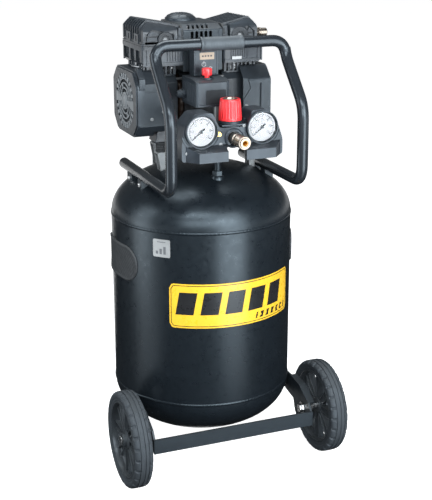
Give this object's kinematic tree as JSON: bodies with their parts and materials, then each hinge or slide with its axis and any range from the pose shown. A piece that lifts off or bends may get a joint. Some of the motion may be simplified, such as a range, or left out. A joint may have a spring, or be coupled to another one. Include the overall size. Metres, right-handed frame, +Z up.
{
  "type": "portable air compressor",
  "caption": "Upright air compressor: vertical tank on two wheels and a rear foot, tubular handle, twin-cylinder oil-free pump, gauge panel, regulator and pressure switch.",
  "frame": {"origin": "on the floor under the middle of the outer box", "axes": "+Z up, -Y towards the gauges and wheels, X across the machine along the axle and the motor shaft"},
  "size_m": [0.452, 0.419, 0.8833],
  "materials": {
    "tank_paint": "satin black powder coat with fine orange peel",
    "steel_paint": "satin black powder coat",
    "handle_paint": "smooth semi-gloss black powder coat",
    "black_plastic": "fine-grained moulded plastic",
    "cast_aluminium": "black-painted die casting",
    "motor_steel": "varnished laminations and ground shaft",
    "piston_alloy": "machined",
    "rubber": "matte",
    "tyre_rubber": "matte",
    "wheel_plastic": "matte moulded",
    "bright_steel": "zinc-plated",
    "nickel": "satin nickel plating",
    "brass": "turned",
    "pipe_aluminium": "drawn",
    "zinc_casting": "die cast",
    "red_plastic": "satin moulded",
    "dial_white": "printed dial",
    "needle_black": "matte"
  },
  "bodies": {
    "frame": {"tank_barrel": "tank_paint", "tank_top_dome": "tank_paint", "tank_bottom_dome": "tank_paint", "undercarriage_frame": "steel_paint", "rear_leg": "steel_paint", "riser_pipe": "steel_paint", "handle_frame": "handle_paint", "fan_shroud_left": "black_plastic", "fan_shroud_right": "black_plastic", "top_cover": "black_plastic", "intake_filter_cap": "black_plastic", "panel_housing": "black_plastic", "regulator_collar": "black_plastic", "switch_base": "black_plastic", "switch_cover": "black_plastic", "cable_gland": "black_plastic", "crankcase_left": "cast_aluminium", "crankcase_right": "cast_aluminium", "cylinder_left": "cast_aluminium", "cylinder_right": "cast_aluminium", "cylinder_head_left": "cast_aluminium", "cylinder_head_right": "cast_aluminium", "stator_core": "motor_steel", "handle_grip": "rubber", "side_pad_left": "rubber", "side_pad_right": "rubber", "rear_foot": "rubber", "damper_front_left": "rubber", "damper_front_right": "rubber", "damper_back_left": "rubber", "damper_back_right": "rubber", "axle_bolt_left": "bright_steel", "axle_bolt_right": "bright_steel", "discharge_fitting": "nickel", "drain_valve_body": "brass", "coupler_body": "brass", "safety_valve_body": "brass", "check_valve": "brass", "discharge_pipe": "pipe_aluminium", "regulator_body": "zinc_casting", "gauge_case_left": "dial_white", "gauge_case_right": "dial_white"},
    "wheel_left": {"tyre_left": "tyre_rubber", "wheel_hub_left": "wheel_plastic"},
    "wheel_right": {"tyre_right": "tyre_rubber", "wheel_hub_right": "wheel_plastic"},
    "motor_rotor": {"motor_shaft": "motor_steel", "rotor": "motor_steel", "fan_left": "black_plastic", "fan_right": "black_plastic"},
    "piston_left": {"piston_left": "piston_alloy"},
    "piston_right": {"piston_right": "piston_alloy"},
    "regulator_spindle": {"regulator_spindle": "brass"},
    "regulator_knob": {"regulator_knob": "red_plastic"},
    "coupler_sleeve": {"coupler_sleeve": "nickel"},
    "safety_valve_ring": {"safety_valve_ring": "bright_steel"},
    "switch_button": {"switch_button": "red_plastic"},
    "drain_tap": {"drain_tap": "brass"},
    "needle_left": {"gauge_needle_left": "needle_black"},
    "needle_right": {"gauge_needle_right": "needle_black"}
  },
  "joints": [
    {"name": "wheel_left_spin", "type": "hinge", "parent": "frame", "child": "wheel_left", "pos_m": [-0.206, -0.1145, 0.095], "axis": [1, 0, 0], "continuous": true},
    {"name": "wheel_right_spin", "type": "hinge", "parent": "frame", "child": "wheel_right", "pos_m": [0.206, -0.1145, 0.095], "axis": [1, 0, 0], "continuous": true},
    {"name": "motor_spin", "type": "hinge", "parent": "frame", "child": "motor_rotor", "pos_m": [0, 0.0775, 0.721], "axis": [1, 0, 0], "continuous": true},
    {"name": "piston_left_stroke", "type": "slide", "parent": "frame", "child": "piston_left", "axis": [0, 0, 1], "range_m": [-0.008, 0.008]},
    {"name": "piston_right_stroke", "type": "slide", "parent": "frame", "child": "piston_right", "axis": [0, 0, 1], "range_m": [-0.008, 0.008]},
    {"name": "regulator_turn", "type": "hinge", "parent": "frame", "child": "regulator_spindle", "pos_m": [0, -0.1205, 0.709], "axis": [0, 0, 1], "range_deg": [-540, 540]},
    {"name": "regulator_lock", "type": "slide", "parent": "regulator_spindle", "child": "regulator_knob", "axis": [0, 0, 1], "range_m": [0, 0.003]},
    {"name": "coupler_release", "type": "slide", "parent": "frame", "child": "coupler_sleeve", "axis": [0, 1, 0], "range_m": [0, 0.0035], "stiffness_N_per_m": 600, "springref_m": -0.004},
    {"name": "safety_valve_pull", "type": "slide", "parent": "frame", "child": "safety_valve_ring", "axis": [0, 0, -1], "range_m": [0, 0.003], "stiffness_N_per_m": 300, "springref_m": -0.003},
    {"name": "switch_press", "type": "slide", "parent": "frame", "child": "switch_button", "axis": [0, 0, -1], "range_m": [0, 0.005]},
    {"name": "drain_turn", "type": "hinge", "parent": "frame", "child": "drain_tap", "pos_m": [0, 0.0095, 0.036], "axis": [0, 1, 0], "range_deg": [0, 90]},
    {"name": "needle_left_swing", "type": "hinge", "parent": "frame", "child": "needle_left", "pos_m": [-0.065, -0.1431, 0.695], "axis": [0, 1, 0], "range_deg": [0, 260], "stiffness_Nm_per_rad": 0.00002, "springref_deg": -28.65},
    {"name": "needle_right_swing", "type": "hinge", "parent": "frame", "child": "needle_right", "pos_m": [0.055, -0.1431, 0.695], "axis": [0, 1, 0], "range_deg": [0, 260], "stiffness_Nm_per_rad": 0.00002, "springref_deg": -28.65}
  ]
}
